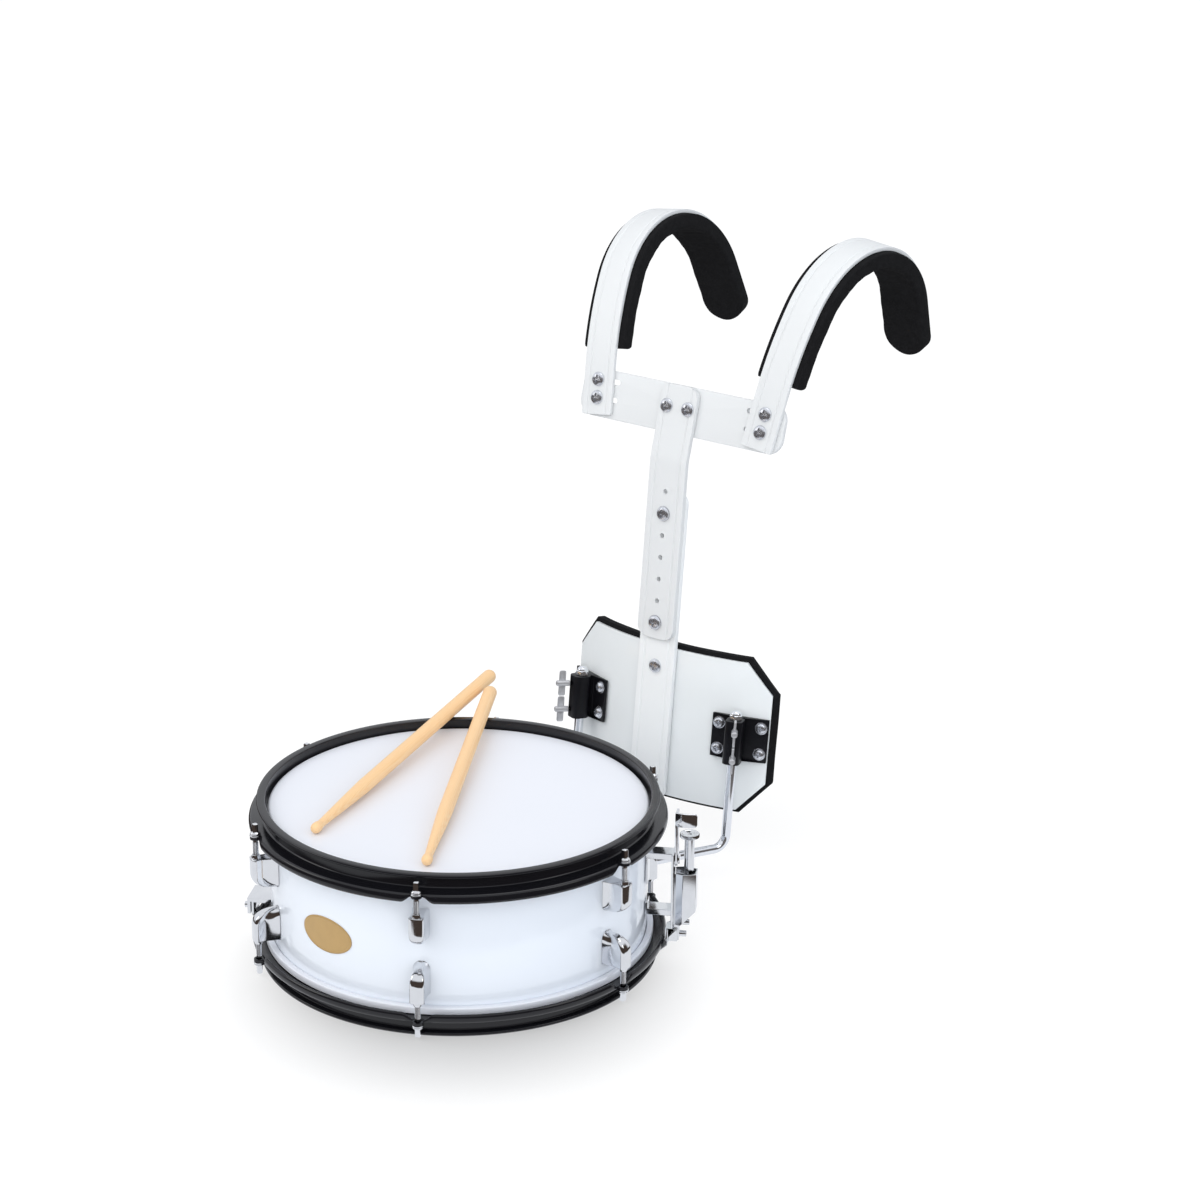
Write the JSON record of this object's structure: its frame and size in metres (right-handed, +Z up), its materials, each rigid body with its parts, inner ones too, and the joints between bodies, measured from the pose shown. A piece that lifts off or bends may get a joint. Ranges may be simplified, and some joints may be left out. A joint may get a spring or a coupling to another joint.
{
  "type": "marching snare drum",
  "caption": "Marching snare drum with throw-off strainer, on an adjustable shoulder carrier with belly pad, and a pair of sticks lying on its head.",
  "frame": {"origin": "centre of the whole object's box, on the floor under it", "axes": "+Z up along the drum's axis, -Y towards the audience and the badge, +Y towards the player, +X to the player's left and the strainer"},
  "size_m": [0.4096, 0.7782, 0.6174],
  "materials": {
    "shell_lacquer": "white gloss lacquer over wood plies",
    "head_film": "smooth white film",
    "hoop_paint": "black gloss paint",
    "chrome": "bright chrome plate",
    "badge_gold": "satin gold",
    "snare_steel": "coiled steel wire",
    "strap_plastic": "plain strip",
    "carrier_white": "white powder coat on aluminium",
    "foam_black": "black closed-cell foam",
    "bracket_black": "black satin paint",
    "maple": "clear lacquered maple"
  },
  "bodies": {
    "drum": {"shell": "shell_lacquer", "batter_head": "head_film", "snare_head": "head_film", "top_hoop": "hoop_paint", "bottom_hoop": "hoop_paint", "upper_lug_1": "chrome", "upper_lug_2": "chrome", "upper_lug_3": "chrome", "upper_lug_4": "chrome", "upper_lug_5": "chrome", "upper_lug_6": "chrome", "lower_lug_1": "chrome", "lower_lug_2": "chrome", "lower_lug_3": "chrome", "lower_lug_4": "chrome", "lower_lug_5": "chrome", "lower_lug_6": "chrome", "badge": "badge_gold", "strainer_frame": "chrome", "strainer_cover": "chrome", "butt_plate": "chrome", "butt_strap": "strap_plastic", "rod_receiver_left": "chrome", "rod_receiver_right": "chrome", "bent_rod_left": "chrome", "bent_rod_right": "chrome"},
    "top_rod_1": {"top_tension_rod_1": "chrome"},
    "top_rod_2": {"top_tension_rod_2": "chrome"},
    "top_rod_3": {"top_tension_rod_3": "chrome"},
    "top_rod_4": {"top_tension_rod_4": "chrome"},
    "top_rod_5": {"top_tension_rod_5": "chrome"},
    "top_rod_6": {"top_tension_rod_6": "chrome"},
    "bottom_rod_1": {"bottom_tension_rod_1": "chrome"},
    "bottom_rod_2": {"bottom_tension_rod_2": "chrome"},
    "bottom_rod_3": {"bottom_tension_rod_3": "chrome"},
    "bottom_rod_4": {"bottom_tension_rod_4": "chrome"},
    "bottom_rod_5": {"bottom_tension_rod_5": "chrome"},
    "bottom_rod_6": {"bottom_tension_rod_6": "chrome"},
    "lever": {"strainer_lever": "chrome"},
    "slide": {"strainer_slide": "chrome"},
    "knob": {"snare_knob": "chrome"},
    "snares": {"snare_wires": "snare_steel", "strainer_strap": "strap_plastic"},
    "carrier": {"belly_plate": "carrier_white", "belly_pad": "foam_black", "hinge_bracket_left": "bracket_black", "hinge_bracket_right": "bracket_black", "lower_stem": "carrier_white"},
    "wing_left_upper": {"wing_screw_left_1": "chrome"},
    "wing_left_lower": {"wing_screw_left_2": "chrome"},
    "wing_right_upper": {"wing_screw_right_1": "chrome"},
    "wing_right_lower": {"wing_screw_right_2": "chrome"},
    "yoke": {"upper_stem": "carrier_white", "crossbar": "carrier_white"},
    "shoulder_left": {"shoulder_bar_left": "carrier_white", "shoulder_pad_left": "foam_black"},
    "shoulder_right": {"shoulder_bar_right": "carrier_white", "shoulder_pad_right": "foam_black"},
    "first_stick": {"stick_1": "maple"},
    "second_stick": {"stick_2": "maple"}
  },
  "joints": [
    {"name": "top_rod_1_turn", "type": "hinge", "parent": "drum", "child": "top_rod_1", "pos_m": [0.0984, -0.36319, 0.15], "axis": [0, 0, 1], "continuous": true},
    {"name": "top_rod_2_turn", "type": "hinge", "parent": "drum", "child": "top_rod_2", "pos_m": [0.1968, -0.19275, 0.15], "axis": [0, 0, 1], "continuous": true},
    {"name": "top_rod_3_turn", "type": "hinge", "parent": "drum", "child": "top_rod_3", "pos_m": [0.0984, -0.02232, 0.15], "axis": [0, 0, 1], "continuous": true},
    {"name": "top_rod_4_turn", "type": "hinge", "parent": "drum", "child": "top_rod_4", "pos_m": [-0.0984, -0.02232, 0.15], "axis": [0, 0, 1], "continuous": true},
    {"name": "top_rod_5_turn", "type": "hinge", "parent": "drum", "child": "top_rod_5", "pos_m": [-0.1968, -0.19275, 0.15], "axis": [0, 0, 1], "continuous": true},
    {"name": "top_rod_6_turn", "type": "hinge", "parent": "drum", "child": "top_rod_6", "pos_m": [-0.0984, -0.36319, 0.15], "axis": [0, 0, 1], "continuous": true},
    {"name": "bottom_rod_1_turn", "type": "hinge", "parent": "drum", "child": "bottom_rod_1", "pos_m": [0.0984, -0.36319, 0.007], "axis": [0, 0, 1], "continuous": true},
    {"name": "bottom_rod_2_turn", "type": "hinge", "parent": "drum", "child": "bottom_rod_2", "pos_m": [0.1968, -0.19275, 0.007], "axis": [0, 0, 1], "continuous": true},
    {"name": "bottom_rod_3_turn", "type": "hinge", "parent": "drum", "child": "bottom_rod_3", "pos_m": [0.0984, -0.02232, 0.007], "axis": [0, 0, 1], "continuous": true},
    {"name": "bottom_rod_4_turn", "type": "hinge", "parent": "drum", "child": "bottom_rod_4", "pos_m": [-0.0984, -0.02232, 0.007], "axis": [0, 0, 1], "continuous": true},
    {"name": "bottom_rod_5_turn", "type": "hinge", "parent": "drum", "child": "bottom_rod_5", "pos_m": [-0.1968, -0.19275, 0.007], "axis": [0, 0, 1], "continuous": true},
    {"name": "bottom_rod_6_turn", "type": "hinge", "parent": "drum", "child": "bottom_rod_6", "pos_m": [-0.0984, -0.36319, 0.007], "axis": [0, 0, 1], "continuous": true},
    {"name": "lever_throw", "type": "hinge", "parent": "drum", "child": "lever", "pos_m": [0.1784, -0.08975, 0.104], "axis": [0.866, 0.5, 0], "range_deg": [0, 97]},
    {"name": "slide_drop", "type": "slide", "parent": "drum", "child": "slide", "axis": [0, 0, 1], "range_m": [-0.0045, 0]},
    {"name": "knob_turn", "type": "hinge", "parent": "slide", "child": "knob", "pos_m": [0.18888, -0.0837, 0.128], "axis": [0, 0, 1], "continuous": true},
    {"name": "snares_drop", "type": "hinge", "parent": "drum", "child": "snares", "pos_m": [-0.1377, -0.27225, 0.018], "axis": [-0.5, 0.866, 0], "range_deg": [0, 0.74]},
    {"name": "carrier_height", "type": "slide", "parent": "drum", "child": "carrier", "axis": [0, 0.0958, 0.9954], "range_m": [-0.04, 0]},
    {"name": "wing_left_upper_turn", "type": "hinge", "parent": "carrier", "child": "wing_left_upper", "pos_m": [0.10685, 0.10061, 0.15285], "axis": [0.5592, -0.8252, 0.0795], "continuous": true},
    {"name": "wing_left_lower_turn", "type": "hinge", "parent": "carrier", "child": "wing_left_lower", "pos_m": [0.10685, 0.09793, 0.12498], "axis": [0.5592, -0.8252, 0.0795], "continuous": true},
    {"name": "wing_right_upper_turn", "type": "hinge", "parent": "carrier", "child": "wing_right_upper", "pos_m": [-0.10685, 0.10061, 0.15285], "axis": [-0.5592, -0.8252, 0.0795], "continuous": true},
    {"name": "wing_right_lower_turn", "type": "hinge", "parent": "carrier", "child": "wing_right_lower", "pos_m": [-0.10685, 0.09793, 0.12498], "axis": [-0.5592, -0.8252, 0.0795], "continuous": true},
    {"name": "yoke_height", "type": "slide", "parent": "carrier", "child": "yoke", "axis": [0, 0.0958, 0.9954], "range_m": [-0.0225, 0.0675]},
    {"name": "shoulder_left_width", "type": "slide", "parent": "yoke", "child": "shoulder_left", "axis": [1, 0, 0], "range_m": [-0.018, 0.012]},
    {"name": "shoulder_right_width", "type": "slide", "parent": "yoke", "child": "shoulder_right", "axis": [-1, 0, 0], "range_m": [-0.018, 0.012]},
    {"name": "first_stick_lift", "type": "slide", "parent": "drum", "child": "first_stick", "axis": [0, 0, 1], "range_m": [0, 0.2]},
    {"name": "second_stick_lift", "type": "slide", "parent": "drum", "child": "second_stick", "axis": [0, 0, 1], "range_m": [0, 0.2]}
  ],
  "couplings": [
    {"joint": "lever_throw", "follows": "slide_drop", "rad_per_m": -368.46},
    {"joint": "snares_drop", "follows": "slide_drop", "rad_per_m": -2.7856}
  ]
}
